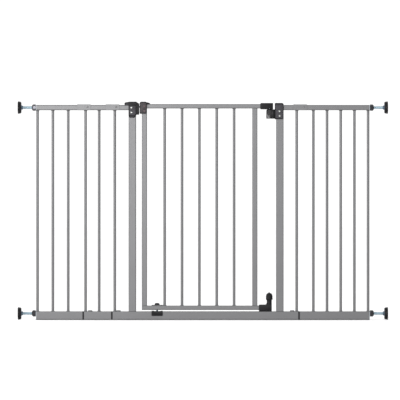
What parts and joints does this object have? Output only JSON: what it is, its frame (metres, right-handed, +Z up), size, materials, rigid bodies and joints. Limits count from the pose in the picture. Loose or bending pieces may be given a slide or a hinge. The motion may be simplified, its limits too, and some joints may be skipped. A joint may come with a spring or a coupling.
{
  "type": "safety gate",
  "caption": "Extra-wide pressure-mounted safety gate: grey tube frame with extension panels, lift-and-swing door, dark latch and hinges, and screw-out wall cups.",
  "frame": {"origin": "on the floor, midway between the wall cups and between front and back", "axes": "+X to the right along the gate, +Y to the back, +Z up"},
  "size_m": [1.2792, 0.043, 0.755],
  "materials": {
    "grey_steel": "satin powder coat",
    "dark_plastic": "fine texture",
    "zinc_steel": "blue zinc plate",
    "black_rubber": "matte",
    "spring_steel": "drawn wire",
    "black_steel": "black zinc",
    "pale_bush": "acetal"
  },
  "bodies": {
    "frame": {"main_bottom_rail": "grey_steel", "latch_post": "grey_steel", "hinge_post": "grey_steel", "main_top_rails": "grey_steel", "main_side_bars": "grey_steel", "latch_housing": "dark_plastic", "hinge_bracket": "dark_plastic", "bracket_screws": "zinc_steel", "bottom_hinge_base": "dark_plastic", "bottom_hinge_pin": "zinc_steel", "lock_keeper": "dark_plastic", "left_outer_bottom_rail": "grey_steel", "left_outer_top_rail": "grey_steel", "left_outer_bars": "grey_steel", "left_inner_bottom_rail": "grey_steel", "left_inner_top_rail": "grey_steel", "left_inner_bars": "grey_steel", "right_bottom_rail": "grey_steel", "right_top_rail": "grey_steel", "right_bars": "grey_steel", "joint_spacers": "dark_plastic", "joint_sleeves": "grey_steel", "joint_screws": "grey_steel", "spindle_guides": "pale_bush"},
    "bush": {"hinge_bush": "pale_bush", "hinge_spring": "spring_steel"},
    "door": {"door_top_rail": "grey_steel", "door_bottom_rail": "grey_steel", "door_latch_stile": "grey_steel", "door_hinge_stile": "grey_steel", "door_bars": "grey_steel", "handle_body": "dark_plastic", "handle_screws": "black_steel", "top_hinge_arm": "dark_plastic", "top_hinge_pin": "zinc_steel", "bottom_hinge_arm": "dark_plastic", "hinge_cap": "dark_plastic", "lock_pin": "zinc_steel", "lock_pin_knob": "dark_plastic", "lock_pin_plate": "dark_plastic", "latch_spring": "spring_steel", "spring_seat": "dark_plastic"},
    "latch": {"latch_bolt": "black_steel", "thumb_slide": "dark_plastic"},
    "top_left_support": {"top_left_spindle": "zinc_steel", "top_left_spindle_foot": "black_rubber", "top_left_wall_cup": "dark_plastic"},
    "top_left_nut": {"top_left_adjuster_nut": "black_steel"},
    "top_right_support": {"top_right_spindle": "zinc_steel", "top_right_spindle_foot": "black_rubber", "top_right_wall_cup": "dark_plastic"},
    "top_right_nut": {"top_right_adjuster_nut": "black_steel"},
    "bottom_left_support": {"bottom_left_spindle": "zinc_steel", "bottom_left_spindle_foot": "black_rubber", "bottom_left_wall_cup": "dark_plastic"},
    "bottom_left_nut": {"bottom_left_adjuster_nut": "black_steel"},
    "bottom_right_support": {"bottom_right_spindle": "zinc_steel", "bottom_right_spindle_foot": "black_rubber", "bottom_right_wall_cup": "dark_plastic"},
    "bottom_right_nut": {"bottom_right_adjuster_nut": "black_steel"}
  },
  "joints": [
    {"name": "door_swing", "type": "hinge", "parent": "frame", "child": "bush", "pos_m": [0.2295, 0, 0.05], "axis": [0, 0, 1], "range_deg": [-90, 90], "stiffness_Nm_per_rad": 0.6},
    {"name": "door_lift", "type": "slide", "parent": "bush", "child": "door", "axis": [0, 0, 1], "range_m": [0, 0.008], "deforming": ["hinge_spring"]},
    {"name": "latch_slide", "type": "slide", "parent": "door", "child": "latch", "axis": [1, 0, 0], "range_m": [0, 0.0095], "stiffness_N_per_m": 300, "springref_m": -0.004, "deforming": ["latch_spring"]},
    {"name": "top_left_nut_spin", "type": "hinge", "parent": "frame", "child": "top_left_nut", "pos_m": [-0.584, 0, 0.7335], "axis": [-1, 0, 0], "range_deg": [-8403, 6723]},
    {"name": "top_left_spindle_slide", "type": "slide", "parent": "frame", "child": "top_left_support", "axis": [-1, 0, 0], "range_m": [-0.028, 0.035]},
    {"name": "top_right_nut_spin", "type": "hinge", "parent": "frame", "child": "top_right_nut", "pos_m": [0.584, 0, 0.7335], "axis": [1, 0, 0], "range_deg": [-8403, 6723]},
    {"name": "top_right_spindle_slide", "type": "slide", "parent": "frame", "child": "top_right_support", "axis": [1, 0, 0], "range_m": [-0.028, 0.035]},
    {"name": "bottom_left_nut_spin", "type": "hinge", "parent": "frame", "child": "bottom_left_nut", "pos_m": [-0.584, 0, 0.022], "axis": [-1, 0, 0], "range_deg": [-8403, 6723]},
    {"name": "bottom_left_spindle_slide", "type": "slide", "parent": "frame", "child": "bottom_left_support", "axis": [-1, 0, 0], "range_m": [-0.028, 0.035]},
    {"name": "bottom_right_nut_spin", "type": "hinge", "parent": "frame", "child": "bottom_right_nut", "pos_m": [0.584, 0, 0.022], "axis": [1, 0, 0], "range_deg": [-8403, 6723]},
    {"name": "bottom_right_spindle_slide", "type": "slide", "parent": "frame", "child": "bottom_right_support", "axis": [1, 0, 0], "range_m": [-0.028, 0.035]}
  ],
  "couplings": [
    {"joint": "top_left_nut_spin", "follows": "top_left_spindle_slide", "rad_per_m": -4188.8},
    {"joint": "top_right_nut_spin", "follows": "top_right_spindle_slide", "rad_per_m": -4188.8},
    {"joint": "bottom_left_nut_spin", "follows": "bottom_left_spindle_slide", "rad_per_m": -4188.8},
    {"joint": "bottom_right_nut_spin", "follows": "bottom_right_spindle_slide", "rad_per_m": -4188.8}
  ]
}
